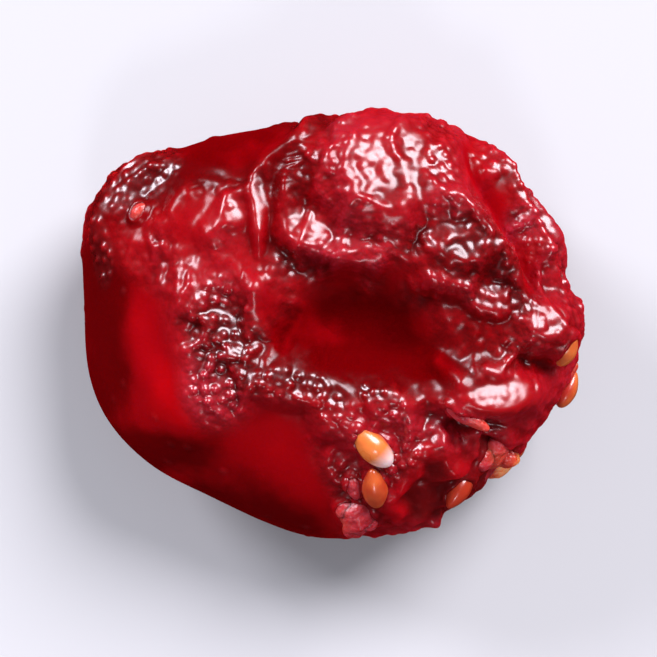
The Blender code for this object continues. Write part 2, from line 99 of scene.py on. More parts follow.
# Lobes that stand up and hollows that have sunk: name, centre (x, y), half sizes, height
TOP_LOBES = (
    ("big_lobe", (1.5, 5.6), (2.9, 2.3), 1.1),
    ("hollow", (1.1, -0.1), (3.1, 1.9), -1.8),
    ("hollow_reach", (3.4, -1.4), (1.7, 1.2), -0.7),
    ("pit", (-3.8, 0.5), (0.7, 1.1), -0.45),
    ("right_lobe", (4.7, 2.9), (1.5, 1.2), 0.7),
    ("edge_lobe", (8.2, 0.0), (1.2, 1.1), 0.7),
    ("tear_lobe", (6.2, -2.4), (1.6, 0.9), 1.1),
    ("left_swell", (-4.6, 4.8), (2.0, 1.8), 0.4),
    ("flank_swell", (-5.8, -3.2), (2.6, 2.2), 0.4),
    ("torn_lump", (3.95, -4.9), (0.9, 0.7), 0.4),
    ("torn_lump_below", (4.8, -5.5), (0.8, 0.7), 0.35),
    ("membrane", (3.2, -6.5), (1.5, 0.9), 0.3),
)

# Parts of the top that dried nearly flat: name, centre (x, y), half sizes, slope in degrees, the
# way that it slopes down, how far it is raised
TOP_FACES = (
    ("big_lobe", (2.2, 6.0), (2.0, 2.1), 24, 55, 0.1),
    ("crescent", (-0.9, 3.8), (1.0, 0.9), 24, 55, 0.0),
    ("long_ridge_side", (-3.5, 4.4), (0.5, 0.7), 18, 55, 0.0),
    ("long_ridge_crest", (-2.6, 4.5), (0.3, 1.5), 24, 48, 0.15),
    ("right_lobe", (5.0, 3.2), (1.2, 0.9), 15, 60, 0.0),
    ("zigzag_foot", (6.1, 1.1), (0.9, 0.7), 24, 55, 0.1),
    ("left_plateau", (-3.9, -0.9), (1.5, 2.3), 4, 45, 0.15),
    ("lower_rim", (-1.0, -2.3), (1.5, 0.7), 3, 55, 0.1),
    ("lower_rim_end", (0.3, -3.1), (1.0, 1.0), 4, 55, 0.1),
    ("below_right", (2.2, -2.9), (0.7, 0.8), 4, 55, 0.1),
    ("edge_lobe", (8.3, 0.3), (0.7, 0.7), 28, 50, 0.0),
    ("tear_lobe", (6.4, -2.45), (1.6, 0.8), 24, 55, 0.15),
    ("left_shoulder", (-7.1, 5.8), (1.3, 1.1), 25, 135, 0.0),
)
FACE_SHARE = 0.8  # how far those parts went flat

# Creases of the flank and the underside: azimuth and elevation of their points, half width, height
SIDE_CREASES = (
    (((96, 22), (92, 2), (84, -28), (70, -60)), 0.6, -0.7),
    (((128, 8), (134, -16), (150, -44)), 0.7, -0.6),
    (((176, -12), (188, -34), (214, -62)), 0.7, -0.6),
    (((226, -20), (238, -42), (262, -66)), 0.6, -0.5),
    (((20, 4), (26, -18), (40, -46)), 0.6, -0.8),
    (((58, 10), (52, -14), (56, -40)), 0.6, -0.6),
    (((352, -14), (344, -38), (320, -62)), 0.6, -0.7),
    (((292, -24), (284, -46), (300, -70)), 0.6, -0.6),
)

TEAR_MIDDLE = (4.8, -5.6, 4.6)
TEAR_HALF_SIZE = (3.1, 2.3, 3.2)
TEAR_DEPTH = 0.3
TEAR_BLEND = 0.5  # the pulp comes in over this width inside the torn edge
TEAR_LUMPS = ((0.16, 0.8, 5), (0.05, 0.45, 9))  # height and size of the pulp's lumps, draw
TEAR_RAGS = ((0.10, 1.1, 6), (0.05, 0.5, 7))  # the same of the torn edge
TEAR_LIP = 0.14  # how far the torn edge of the skin stands up
TEAR_LIP_WIDTH = 0.22

WRINKLES = ((2.1, 0.18, 0.45, 21), (1.15, 0.13, 0.5, 34))  # spacing, height, narrowness, draw
TAUT_EDGE = (  # left of and below this line, in plan, the skin stayed smooth
    (-14.0, 3.4), (-8.0, 2.6), (-5.9, 1.4), (-5.5, -0.8), (-4.8, -2.4), (-3.6, -3.1),
    (-2.2, -2.9), (-0.9, -3.5), (-0.3, -4.6), (0.2, -6.0), (0.6, -8.0), (1.0, -14.0),
)
TAUT_BLEND = 1.8
TAUT_RAGS = ((0.35, 1.3, 8),)  # height, size and draw of that line's unevenness
TAUT_FOOT = 0.8  # and it wrinkled again from the waist down to this height
TAUT_FADE = 2.6
TAUT_CALM = 0.99  # share of the wrinkles that the taut skin lacks
# Areas with fewer or more wrinkles than the rest: name, centre (x, y), half sizes, change
CHANGE_RAGS = ((0.25, 0.9, 15),)  # the same of their edges
WRINKLE_CHANGES = (
    ("hollow", (1.1, 0.0), (2.4, 1.5), -0.95),
    ("hollow_reach", (3.6, -1.5), (1.2, 0.9), -0.8),
    ("right_fold_top", (5.5, 6.1), (0.35, 0.8), -0.9),
    ("right_fold_middle", (6.5, 4.4), (0.35, 0.8), -0.9),
    ("right_fold_foot", (7.5, 2.4), (0.35, 0.8), -0.9),
    ("outer_ridges", (7.6, 4.4), (0.7, 2.2), 0.3),
    ("upper_left", (-3.7, 6.8), (1.9, 0.9), -0.95),
    ("left_swell", (-5.2, 4.3), (1.0, 1.3), -0.7),
    ("middle_left", (-2.8, 3.6), (1.0, 1.2), -0.35),
    ("right_slope", (5.4, 0.0), (1.2, 0.8), -0.4),
    ("big_lobe_face", (2.2, 6.0), (1.1, 1.3), -0.45),
    ("crescent_face", (-0.9, 3.8), (0.6, 0.6), -0.4),
    ("tear_lobe_face", (6.3, -2.4), (1.1, 0.5), -0.85),
    ("pitted_left", (-3.8, -0.6), (1.0, 1.6), 0.5),
    ("torn_middle", (4.1, -5.4), (1.0, 0.8), -0.7),
    ("membrane", (3.2, -6.6), (1.0, 0.5), -0.8),
    ("left_shoulder", (-7.4, 5.2), (1.1, 1.3), -0.3),
    ("below_shoulder", (-8.0, 3.2), (1.3, 1.0), -0.6),
    ("long_ridge_crest", (-2.6, 4.6), (0.5, 1.4), -0.4),
)

# Painted light and shade in the flesh's colour, and a few patches that are only darker or lighter:
# below 0 painted shade, as in the hollow and on the flank's shaded edges; above 0 painted light,
# as on the lit flank: name, centre, half sizes, tone
TONE_FOOT = 2.5  # they reach this far below the waist
TONE_FADE = 3.0
TONE_LUMPS = ((0.25, 1.6, 11),)
SHADE_AND_LIGHT_PATCHES = (
    ("hollow", (1.0, -0.1), (3.0, 1.9), -1.0),
    ("hollow_foot", (0.6, -1.5), (2.4, 0.9), -1.2),
    ("hollow_reach", (3.8, -1.6), (1.5, 1.0), -0.8),
    ("lit_flank", (-5.1, -2.6), (1.7, 1.0), 1.2),
    ("lit_flank_top", (-6.3, -0.6), (1.6, 1.7), 0.4),
    ("left_flank", (-8.0, 0.8), (2.2, 2.2), -0.6),
    ("left_plateau", (-3.7, -0.9), (1.3, 2.2), -0.6),
    ("low_flank", (-2.0, -4.8), (3.0, 1.3), 0.3),
    ("upper_left", (-4.2, 6.4), (3.4, 1.4), -1.1),
    ("upper_edge", (-3.0, 7.8), (4.0, 0.9), -0.8),
    ("left_shoulder", (-7.4, 5.2), (1.6, 1.9), -0.4),
    ("left_edge", (-9.6, 1.0), (1.7, 3.6), -1.0),
    ("left_edge_foot", (-8.7, -3.0), (2.1, 2.4), -1.1),
    ("shaded_flank", (-6.0, -4.35), (2.5, 1.05), -1.1),
    ("lower_edge", (-4.5, -7.0), (5.0, 1.7), -1.4),
    ("right_slope", (6.0, -0.3), (2.0, 1.5), -0.6),
    ("right_lobe", (4.9, 3.0), (1.8, 1.4), -0.55),
)
# Where the film of syrup is thin, so that the skin hardly shines: name, centre, half sizes
DULL_AREAS = (
    ("hollow", (0.9, -0.1), (2.6, 1.2)),
    ("hollow_foot", (1.0, -1.3), (1.6, 0.4)),
    ("hollow_reach", (3.7, -1.4), (1.0, 0.7)),
    ("hollow_wall", (-1.8, -0.4), (0.4, 0.6)),
    ("upper_left", (-3.7, 6.9), (1.9, 0.8)),
)
FILM = 0.02  # of the syrup on the taut skin; on the rest it gathered
FILM_LOW_DOWN = 0.3
FILM_ON_WRINKLES = 0.8
FILM_ON_FACES = 0.9
FILM_ON_BEADS = 0.8
FILM_LUMPS = ((0.4, 1.1, 16),)
BRIGHT_FOLD = "right_fold"
# The floor of that fold is painted lighter by this tone: painted light.
FOLD_PAINTED_LIGHT = 0.3
BRIGHT_FOLD_WIDTH = 1.5  # in it the film is as thin, over this many times its width
RELIEF_SHADE_AND_LIGHT = 0.3  # painted light on the crests and painted shade in the creases, by this share of their relief
RELIEF_SIZE = 0.05
RELIEF_ROUNDS = 12  # how often the skin is evened out to tell its crests from its creases

# The skin between the wrinkles is beaded where syrup dried in it
BEAD_SPACING = 0.36
BEAD_RADIUS = 0.25
BEAD_HEIGHT = 0.06
BEAD_UNEVENNESS = (0.5, 1.2)  # shares of that height
BEAD_FOOT = 1.0  # they stand above this height only
BEAD_FADE = 2.0
BEADED_AREAS = (  # name, centre (x, y), half sizes, how much higher the beads are than elsewhere
    ("left_shoulder_top", (-6.6, 6.3), (0.9, 0.8), 1.3),
    ("left_shoulder", (-7.7, 5.2), (0.9, 0.9), 1.3),
    ("left_plateau", (-3.9, 0.2), (1.1, 1.7), 1.8),
    ("left_plateau_foot", (-4.0, -2.1), (0.9, 0.8), 2.2),
    ("lower_rim", (-2.0, -2.0), (1.1, 0.5), 1.5),
    ("left_chain_head", (-0.5, -2.2), (0.6, 0.45), 1.7),
    ("left_chain", (0.15, -2.9), (0.5, 0.5), 1.7),
    ("left_chain_foot", (0.7, -3.6), (0.45, 0.5), 1.7),
    ("right_chain", (1.7, -2.3), (0.5, 0.4), 1.7),
    ("right_chain_foot", (2.4, -3.0), (0.5, 0.5), 1.7),
    ("beside_seed", (3.2, -4.5), (0.4, 0.6), 1.6),
    ("beside_seed_foot", (2.6, -5.1), (0.35, 0.5), 2.2),
    ("zigzag", (4.3, 1.6), (1.4, 0.4), 1.5),
    ("outer_ridges", (7.7, 4.7), (0.5, 2.0), 1.5),
    ("outer_ridges_top", (6.5, 6.8), (0.9, 0.9), 1.6),
    ("lobe_side", (4.2, 5.9), (0.6, 1.5), 1.3),
    ("under_lobe", (2.6, 3.3), (1.4, 0.6), 1.5),
    ("right_end", (9.0, 1.5), (0.5, 1.4), 1.6),
    ("lobe_top", (4.2, 7.3), (0.9, 0.6), 1.4),
    ("left_edge", (-8.6, 3.0), (0.4, 1.2), 2.0),
    ("tear_lobe", (5.9, -2.2), (0.9, 0.4), 0.4),
)
BEADED_FOLDS = ("zigzag_ridge", "inner_fold_ridge", "outer_rim", "edge_ridge")
FOLD_BEADS = 1.4
BEADED_FOLD_WIDTH = 1.2
LONE_BEADS = 0.04  # share of the beads that also stand on the calm skin
LONE_BEAD_STRENGTH = 0.8
FEWER_WHERE_DULL = 0.8

# How the skin buckles over the shrunken pulp, first in large and then in small wrinkles
COARSE_GROWTH = 0.02  # how much too long the skin is
COARSE_LUMPS = ((0.3, 1.8, 13),)  # and how unevenly
FINE_GROWTH = 0.045
CALMER_WHERE_BEADED = 0.4
COARSE_ROUNDS = 160
FINE_ROUNDS = 200
STIFFNESS = 0.22  # of the skin, against the hold of the pulp
HOLD = 0.016
DAMPING = 0.9
STEP = 0.12
GRAIN = ((0.025, 0.36, 14),)  # of the skin that the small wrinkles start from
COARSE_CUTS = 32  # cuts of each edge of the 20-sided ball for the large wrinkles
FINE_CUTS = 2  # cuts of each of those edges for the small ones
TOP_DENSITY = 0.43  # below 1 the top has more of the mesh's points than the underside


def smooth_step(value):
    """0 below 0, 1 above 1, and an even curve between."""
    value = np.clip(value, 0.0, 1.0)
    return value * value * (3.0 - 2.0 * value)


def curve_through(before, start, end, after, t):
    """A smooth curve from start to end, at shares t of the way."""
    return 0.5 * (
        2.0 * start
        + (end - before) * t
        + (2.0 * before - 5.0 * start + 4.0 * end - after) * t**2
        + (3.0 * start - before - 3.0 * end + after) * t**3
    )


def outline_radius(azimuth):
    """Radius of the outline at these azimuths, in degrees, on a closed smooth curve."""
    radii = np.array(OUTLINE_RADII)
    place = np.asarray(azimuth, float) / OUTLINE_STEP
    index = np.floor(place).astype(int)
    around = [radii[(index + k) % len(radii)] for k in (-1, 0, 1, 2)]
    return curve_through(*around, place - index)


def plain_roundness(azimuth):
    """How square the profile is at these azimuths."""
    nearness = 0.5 + 0.5 * np.cos(np.radians(azimuth - STEEPEST_AZIMUTH))
    return LEAST_ROUNDNESS + ROUNDNESS_RISE * nearness**ROUNDNESS_FOCUS


def plain_surface(azimuth, elevation):
    """Points of the berry without its folds, for azimuths and elevations in degrees."""
    power = 2.0 / plain_roundness(azimuth)
    rise = np.sin(np.radians(elevation))
    spread = outline_radius(azimuth) * np.cos(np.radians(elevation)).clip(0.0) ** power
    reach = np.where(rise > 0.0, CROWN_RISE, BELLY_DROP)
    height = WAIST_HEIGHT + reach * np.sign(rise) * np.abs(rise) ** power
    turn = np.radians(azimuth)
    return np.stack([spread * np.cos(turn), spread * np.sin(turn), height], axis=-1)


def top_point(x, y):
    """Azimuth and elevation of the point of the plain top that lies over (x, y)."""
    azimuth = math.degrees(math.atan2(y, x)) % 360.0
    share = min(0.999, math.hypot(x, y) / float(outline_radius(azimuth)))
    return azimuth, math.degrees(math.acos(share ** (plain_roundness(azimuth) / 2.0)))


def smooth_path(corners, spacing=0.15):
    """Points about this far apart on a smooth curve through the corners."""
    corners = np.array(corners, float)
    padded = np.vstack([2 * corners[0] - corners[1], corners, 2 * corners[-1] - corners[-2]])
    pieces = []
    for before, start, end, after in zip(padded, padded[1:], padded[2:], padded[3:]):
        count = max(2, math.ceil(np.linalg.norm(end - start) / spacing))
        pieces.append(curve_through(before, start, end, after, np.arange(count)[:, None] / count))
    return np.vstack([*pieces, corners[-1:]])


def fold_height(points, path, half_width, height):
    """How far a ridge or crease along the path lifts each point. It runs out at both ends."""
    lift = np.zeros(len(points))
    reach = FOLD_REACH * half_width
    near = np.all((points > path.min(0) - reach) & (points < path.max(0) + reach), axis=1)
    gaps = np.linalg.norm(points[near, None, :] - path[None, :, :], axis=2)
    along = gaps.argmin(1) / (len(path) - 1)
    ends = smooth_step(3.2 * np.minimum(along, 1.0 - along) + 0.1)
    lift[near] = height * ends * np.exp(-((gaps.min(1) / half_width) ** 2))
    return lift


def fading_lobe(gap):
    """1 in the middle of a lobe, near 0 past its half sizes, for gaps in half sizes."""
    return np.exp(-((gap**2).sum(1) ** 1.25))


def plan_gap(points, centre, half_sizes):
    """How far each point lies from a centre, seen from above, in half sizes."""
    return (points[:, :2] - np.array(centre)) / np.array(half_sizes)


def lobe_height(points, centre, half_sizes, height):
    """How far a lobe or hollow of the top lifts each point."""
    gap = plan_gap(points, centre, half_sizes)
    top_side = smooth_step((points[:, 2] - WAIST_HEIGHT) / TOP_FADE)
    return height * top_side * fading_lobe(gap)


def tear_gap(points):
    """About how far each point lies inside the torn end's ragged edge; negative outside it."""
    gap = (points - np.array(TEAR_MIDDLE)) / np.array(TEAR_HALF_SIZE)
    ragged = layered_lumps(points, TEAR_RAGS)
    return 2.6 * (0.95 + ragged - np.linalg.norm(gap, axis=1))


def torn_share(inside):
    """1 well inside the torn end, 0 on the whole skin."""
    return smooth_step(inside / TEAR_BLEND)


def lumps(points, size, seed):
    """A smooth random field, about -1 to 1, whose lumps are this size."""
    draw = random.Random(seed)
    total = np.zeros(len(points))
    waves = 14
    for _ in range(waves):
        way = np.array([draw.gauss(0, 1) for _ in range(3)])
        way *= (math.pi / size) * draw.uniform(0.7, 1.3) / np.linalg.norm(way)
        total += np.sin(points @ way + draw.uniform(0, 2 * math.pi))
    return total / math.sqrt(waves)


def layered_lumps(points, layers):
    """The sum of such fields, each given as height, size and draw."""
    return sum(height * lumps(points, size, draw) for height, size, draw in layers)


def tautness(points):
    """1 on the flank that stayed smooth, 0 on the wrinkled skin."""
    path = smooth_path(np.array(TAUT_EDGE), 0.4)
    gaps = points[:, None, :2] - path[None, :, :]
    nearest = (gaps**2).sum(2).argmin(1)
    run = np.gradient(path, axis=0)[nearest]
    gap = points[:, :2] - path[nearest]
    side = (gap[:, 1] * run[:, 0] - gap[:, 0] * run[:, 1]) / np.linalg.norm(run, axis=1)
    side += layered_lumps(points, TAUT_RAGS)
    high_up = smooth_step((points[:, 2] - TAUT_FOOT) / TAUT_FADE)
    return smooth_step(0.45 - side / TAUT_BLEND) * high_up


def wrinkled_share(points):
    """1 where the skin is as wrinkled as most of it, near 0 where it is calm or taut."""
    share = 1.0 - TAUT_CALM * tautness(points)
    share *= 0.8 + 0.2 * lumps(points, 2.4, seed=12).clip(-1.0, 1.0)
    ragged = layered_lumps(points, CHANGE_RAGS)
    for _, centre, half_sizes, change in WRINKLE_CHANGES:
        gap = np.linalg.norm(plan_gap(points, centre, half_sizes), axis=1)
        inside = smooth_step((1.9 - gap + ragged) / 1.2)
        share *= 1.0 + change * inside * smooth_step(points[:, 2] - WAIST_HEIGHT)
    return share


def wrinkle_lift(points):
    """Winding crests along the lines where a random field is zero."""
    lift = np.zeros(len(points))
    for spacing, height, narrowness, draw in WRINKLES:
        crest = np.exp(-((lumps(points, spacing, draw) / narrowness) ** 2))
        lift += height * (crest - 0.35)
    return lift * wrinkled_share(points)


def path_on_top(corners):
    """A smooth path on the plain top that lies over these corners."""
    return smooth_path([plain_surface(*top_point(x, y)) for x, y in corners])


def on_fold(points, fold, wider, height):
    """As fold_height, for a named fold made so many times as wide and given another height."""
    corners, half_width = next(row[1:3] for row in TOP_FOLDS if row[0] == fold)
    return fold_height(points, path_on_top(corners), wider * half_width, height)


def face_share(points, gap, half_sizes):
    """1 in the middle of a flat part of the top, 0 outside it."""
    share = smooth_step((1.4 - np.linalg.norm(gap / np.array(half_sizes), axis=1)) / 0.9)
    return share * smooth_step((points[:, 2] - WAIST_HEIGHT) / TOP_FADE)


def folded_surface(points, normals):
    """Moves the plain surface's points out to the folded, torn surface."""
    lift = np.zeros(len(points))
    for _, corners, half_width, height in TOP_FOLDS:
        lift += fold_height(points, path_on_top(corners), half_width, height)
    for _, centre, half_sizes, height in TOP_LOBES:
        lift += lobe_height(points, centre, half_sizes, height)
    for corners, half_width, height in SIDE_CREASES:
        path = np.array([plain_surface(a, e) for a, e in corners])
        lift += fold_height(points, smooth_path(path), half_width, height)
    lift += layered_lumps(points, SKIN_LUMPS)
    free = smooth_step((points[:, 2] - CALM_BELOW) / CALM_FADE)
    moved = points + normals * (lift * free)[:, None]
    for _, centre, half_sizes, slope, way, rise in TOP_FACES:
        gap = moved[:, :2] - np.array(centre)
        down = np.array((math.cos(math.radians(way)), math.sin(math.radians(way))))
        fall = math.tan(math.radians(slope)) * (gap @ down)
        share = face_share(points, gap, half_sizes)
        height = rise + np.average(moved[:, 2] + fall, weights=share)
        moved[:, 2] += FACE_SHARE * share * (height - fall - moved[:, 2])
    inside = tear_gap(points)
    pulp = layered_lumps(points, TEAR_LUMPS)
    lift = wrinkle_lift(points) + torn_share(inside) * (pulp - TEAR_DEPTH)
    lift += TEAR_LIP * np.exp(-(((inside + 0.15) / TEAR_LIP_WIDTH) ** 2))
    return moved + normals * (lift * free)[:, None]


class Net:
    """The edges of a mesh, for sums over each point's neighbours."""

    def __init__(self, mesh):
        edges = np.empty(len(mesh.edges) * 2, np.int32)
        mesh.edges.foreach_get("vertices", edges)
        self.first, self.second = edges.reshape(-1, 2).T.astype(np.int64)
        self.count = len(mesh.vertices)
        ends = np.concatenate([self.first, self.second])
        self.degree = np.bincount(ends, minlength=self.count)[:, None].astype(float)

    def gather(self, first_values, second_values):
        """Sums values given for each edge's first and second end into their points."""
        total = np.empty((self.count, 3))
        for axis in range(3):
            total[:, axis] = np.bincount(self.first, first_values[:, axis], self.count)
            total[:, axis] += np.bincount(self.second, second_values[:, axis], self.count)
        return total

    def sag(self, values):
        """How far the mean of each point's neighbours lies from it."""
        return self.gather(values[self.second], values[self.first]) / self.degree - values

    def smoothed(self, values, rounds):
        """The values evened out between neighbours, this many times."""
        for _ in range(rounds):
            values = values + 0.5 * self.sag(values)
        return values


def wrinkled(start, net, growth, rounds):
    """Lets the skin buckle: it has too much length for the pulp under it, by its growth.

    Stiffness against hold sets how long the wrinkles are, as on a real skin on soft flesh.
    """
    span = np.linalg.norm(start[net.second] - start[net.first], axis=1)
    rest = span * (1.0 + 0.5 * (growth[net.first] + growth[net.second]))
    place = start.copy()
    speed = np.zeros_like(start)
    for _ in range(rounds):
        gap = place[net.second] - place[net.first]
        length = np.sqrt((gap**2).sum(1))
        pull = gap * (1.0 - rest / length)[:, None]
        moved = place - start
        force = net.gather(pull, -pull)
        force -= STIFFNESS * net.sag(net.sag(moved)) + HOLD * moved
        speed = DAMPING * speed + STEP * force
        place = place + speed
    return place


def read_vectors(items, name):
    """The vectors of this name of a mesh's points, one a row."""
    values = np.empty(len(items) * 3, np.float32)
    items.foreach_get(name, values)
    return values.reshape(-1, 3).astype(float)


def surface_normals(mesh, points):
    """Moves the mesh's points to these places, and gives its normals there."""
    mesh.vertices.foreach_set("co", points.astype(np.float32).ravel())
    mesh.update()
    return read_vectors(mesh.vertices, "normal")


def berry_points(mesh, ways):
    """The plain and the folded surface's points for a ball's mesh, by the way each point lies."""
    ways = ways / np.linalg.norm(ways, axis=1)[:, None]
    azimuth = np.degrees(np.arctan2(ways[:, 1], ways[:, 0])) % 360.0
    share_below = ((1.0 + ways[:, 2]) / 2.0).clip(0.0, 1.0) ** TOP_DENSITY
    elevation = np.degrees(np.arcsin(2.0 * share_below - 1.0))
    plain = plain_surface(azimuth, elevation)
    return plain, folded_surface(plain, surface_normals(mesh, plain))


def painted_light_and_shade(points, relief):
    """Painted light and shade in each point's colour: -1 in the shaded hollow, 1 on the lit flank.
    """
    tone = RELIEF_SHADE_AND_LIGHT * relief + layered_lumps(points, TONE_LUMPS)
    for _, centre, half_sizes, strength in SHADE_AND_LIGHT_PATCHES:
        reach = smooth_step((points[:, 2] - WAIST_HEIGHT + TONE_FOOT) / TONE_FADE)
        tone += strength * reach * fading_lobe(plan_gap(points, centre, half_sizes))
    return tone + on_fold(points, BRIGHT_FOLD, 1.0, FOLD_PAINTED_LIGHT)


def area_share(points, centre, half_sizes):
    """1 in an area of the top, falling to 0 outside it."""
    gap = np.linalg.norm(plan_gap(points, centre, half_sizes), axis=1)
    return smooth_step((1.4 - gap) / 0.6) * smooth_step(points[:, 2] - WAIST_HEIGHT + 1.0)


def syrup_film(points, wrinkles):
    """How thick the film of dried syrup is, 0 to 1, and how far each point is in a bare area."""
    unevenness = 1.0 + layered_lumps(points, FILM_LUMPS)
    film = FILM + FILM_ON_WRINKLES * wrinkles.clip(0.0, 1.0) * unevenness
    loose = 1.0 - tautness(points)
    for _, centre, half_sizes, *_ in TOP_FACES:
        share = face_share(points, points[:, :2] - np.array(centre), half_sizes)
        film = np.maximum(film, FILM_ON_FACES * loose * share)
    bare = sum(area_share(points, centre, half_sizes) for _, centre, half_sizes in DULL_AREAS)
    bare = (bare + on_fold(points, BRIGHT_FOLD, BRIGHT_FOLD_WIDTH, 1.0)).clip(0.0, 1.0)
    low_down = smooth_step(0.9 * (WAIST_HEIGHT - points[:, 2]))
    film = np.maximum(film, FILM_LOW_DOWN * loose * low_down)
    return (film * (1.0 - 1.1 * bare)).clip(0.0, 1.0), bare


def beaded_share(points):
    """How much the beads stand out: 1 or more in the beaded areas, 0 elsewhere."""
    share = np.zeros(len(points))
    for _, centre, half_sizes, strength in BEADED_AREAS:
        share = np.maximum(share, strength * area_share(points, centre, half_sizes))
    for fold in BEADED_FOLDS:
        share = np.maximum(share, on_fold(points, fold, BEADED_FOLD_WIDTH, FOLD_BEADS))
    return share


def bead_centres(points):
    """Some of the points, picked at random, no two of them closer than the spacing of the beads."""
    cells = {}
    kept = []
    cell_of = np.floor(points / BEAD_SPACING).astype(int).tolist()
    order = list(range(len(points)))
    random.Random(18).shuffle(order)
    places = points.tolist()
    for index in order:
        x, y, z = cell_of[index]
        near = (
            other
            for i in (x - 1, x, x + 1)
            for j in (y - 1, y, y + 1)
            for k in (z - 1, z, z + 1)
            for other in cells.get((i, j, k), ())
        )
        if all(math.dist(places[index], other) >= BEAD_SPACING for other in near):
            cells.setdefault((x, y, z), []).append(places[index])
            kept.append(places[index])
    return kept


def beads(points, share, film):
    """How far the beads lift each point, and how much of a bead's film it has."""
    centres = bead_centres(points)
    tree = KDTree(len(centres))
    for index, centre in enumerate(centres):
        tree.insert(centre, index)
    tree.balance()
    draw = random.Random(19)
    heights = np.array([draw.uniform(*BEAD_UNEVENNESS) for _ in centres])
    alone = np.array([draw.random() < LONE_BEADS for _ in centres])
    found = [tree.find(point) for point in points.tolist()]
    nearest = np.array([index for _, index, _ in found])
    gap = np.array([distance for _, _, distance in found]) / BEAD_RADIUS
    dome = heights[nearest] * (1.0 - gap.clip(0.0, 1.0) ** 2) ** 2
    strength = np.maximum(share, LONE_BEAD_STRENGTH * alone[nearest])
    strength *= smooth_step((points[:, 2] - BEAD_FOOT) / BEAD_FADE)
    return BEAD_HEIGHT * strength * dome, film * alone[nearest] * dome


def make_flesh():
    """The flesh's mesh, in two steps: large wrinkles on a coarse net, small ones on a fine net."""
    ball = bmesh.new()
    bmesh.ops.create_icosphere(ball, subdivisions=1, radius=1.0)
    bmesh.ops.subdivide_edges(ball, edges=ball.edges[:], cuts=COARSE_CUTS, use_grid_fill=True)
    mesh = bpy.data.meshes.new("cranberry_flesh")
    ball.to_mesh(mesh)
    ways = read_vectors(mesh.vertices, "co")
    plain, folded = berry_points(mesh, ways)
    net = Net(mesh)
    folded = net.smoothed(folded, 1)
    unevenness = 1.0 + layered_lumps(plain, COARSE_LUMPS)
    growth = COARSE_GROWTH * wrinkled_share(plain) * unevenness
    coarse = wrinkled(folded, net, growth, COARSE_ROUNDS)
    shift = ball.verts.layers.float_vector.new("shift")
    ball.verts.ensure_lookup_table()
    for vertex, moved in zip(ball.verts, coarse - folded):
        vertex[shift] = moved
    bmesh.ops.subdivide_edges(ball, edges=ball.edges[:], cuts=FINE_CUTS, use_grid_fill=True)
    ball.to_mesh(mesh)
    ball.free()
    ways = read_vectors(mesh.vertices, "co")
    moved = read_vectors(mesh.attributes["shift"].data, "vector")
    plain, folded = berry_points(mesh, ways)
    net = Net(mesh)
    folded = net.smoothed(folded + net.smoothed(moved, 4), 2)
    share = wrinkled_share(plain)
    normals = surface_normals(mesh, folded)
    folded += normals * (share * layered_lumps(plain, GRAIN))[:, None]
    beaded = beaded_share(plain)
    growth = FINE_GROWTH * share * (1.0 - CALMER_WHERE_BEADED * beaded.clip(0.0, 1.0))
    fine = wrinkled(folded, net, growth, FINE_ROUNDS)
    film, bare = syrup_film(plain, share)
    film = np.maximum(film, beaded * (1.0 - bare))
    bead_share = np.maximum(share * (1.0 - FEWER_WHERE_DULL * bare), beaded)
    bead_lift, bead_film = beads(fine, bead_share, 1.0 - bare)
    fine += surface_normals(mesh, fine) * bead_lift[:, None]
    fine[:, 2] = fine[:, 2].clip(0.0)  # it lies flat on the table
    normals = surface_normals(mesh, fine * MM)
    relief = ((fine - net.smoothed(fine, RELIEF_ROUNDS)) * normals).sum(1) / RELIEF_SIZE
    mesh.attributes.remove(mesh.attributes["shift"])
    # "tone" holds the painted light and shade of the skin's colour.
    tones = {
        "wrinkled": share.clip(0.0, 1.5),
        "torn": torn_share(tear_gap(plain)),
        "tone": painted_light_and_shade(plain, relief.clip(-1.5, 1.5)),
        "film": np.maximum(film, FILM_ON_BEADS * bead_film).clip(0.0, 1.0),
    }
    for name, values in tones.items():
        layer = mesh.attributes.new(name, "FLOAT", "POINT")
        layer.data.foreach_set("value", values.astype(np.float32))
    mesh.shade_smooth()
    return mesh


def set_inputs(tree, inputs, values):
    """Gives a node's inputs numbers, colours or other nodes' outputs, by the inputs' names."""
    for name, value in values.items():
        if isinstance(value, bpy.types.NodeSocket):
            tree.links.new(value, inputs[name])
        else:
            inputs[name].default_value = value


def math_node(tree, operation, *values, clamp=False):
    """A Math node's output, from numbers or from other nodes' outputs."""
    node = tree.nodes.new("ShaderNodeMath")
    node.operation = operation
    node.use_clamp = clamp
    set_inputs(tree, node.inputs, dict(enumerate(values)))
    return node.outputs[0]


def mixed_colour(tree, share, first, second):
    """A colour between two others, each a colour or another node's output."""
    mix = tree.nodes.new("ShaderNodeMix")
    mix.data_type = "RGBA"
    first, second = ((*c, 1.0) if isinstance(c, tuple) else c for c in (first, second))
    set_inputs(tree, mix.inputs, {"Factor": share, "A": first, "B": second})
    return mix.outputs["Result"]


def ramp(tree, share, colours, interpolation="LINEAR"):
    """A colour from a row of (place, colour), by how far along the row its share is."""
    node = tree.nodes.new("ShaderNodeValToRGB")
    node.color_ramp.interpolation = interpolation
    stops = node.color_ramp.elements
    for stop, (_, colour) in zip(stops, (colours[0], colours[-1])):
        stop.color = (*colour, 1.0)
    for place, colour in colours[1:-1]:
        stops.new(place).color = (*colour, 1.0)
    tree.links.new(share, node.inputs["Fac"])
    return node.outputs["Color"]


def attribute(tree, name):
    node = tree.nodes.new("ShaderNodeAttribute")
    node.attribute_name = name
    return node.outputs["Fac"]


def noise(tree, place, scale, detail):
    node = tree.nodes.new("ShaderNodeTexNoise")
    set_inputs(tree, node.inputs, {"Vector": place, "Scale": scale, "Detail": detail})
    return node.outputs["Fac"]


SYRUP_INPUTS = (("Dome Size", 0.25), ("Dome Amount", 1.0), ("Grain Amount", 1.0))
GRAIN_SCALE = 9000.0
GRAIN_TO_DOME = 0.2
PATCH_SCALE = 700.0


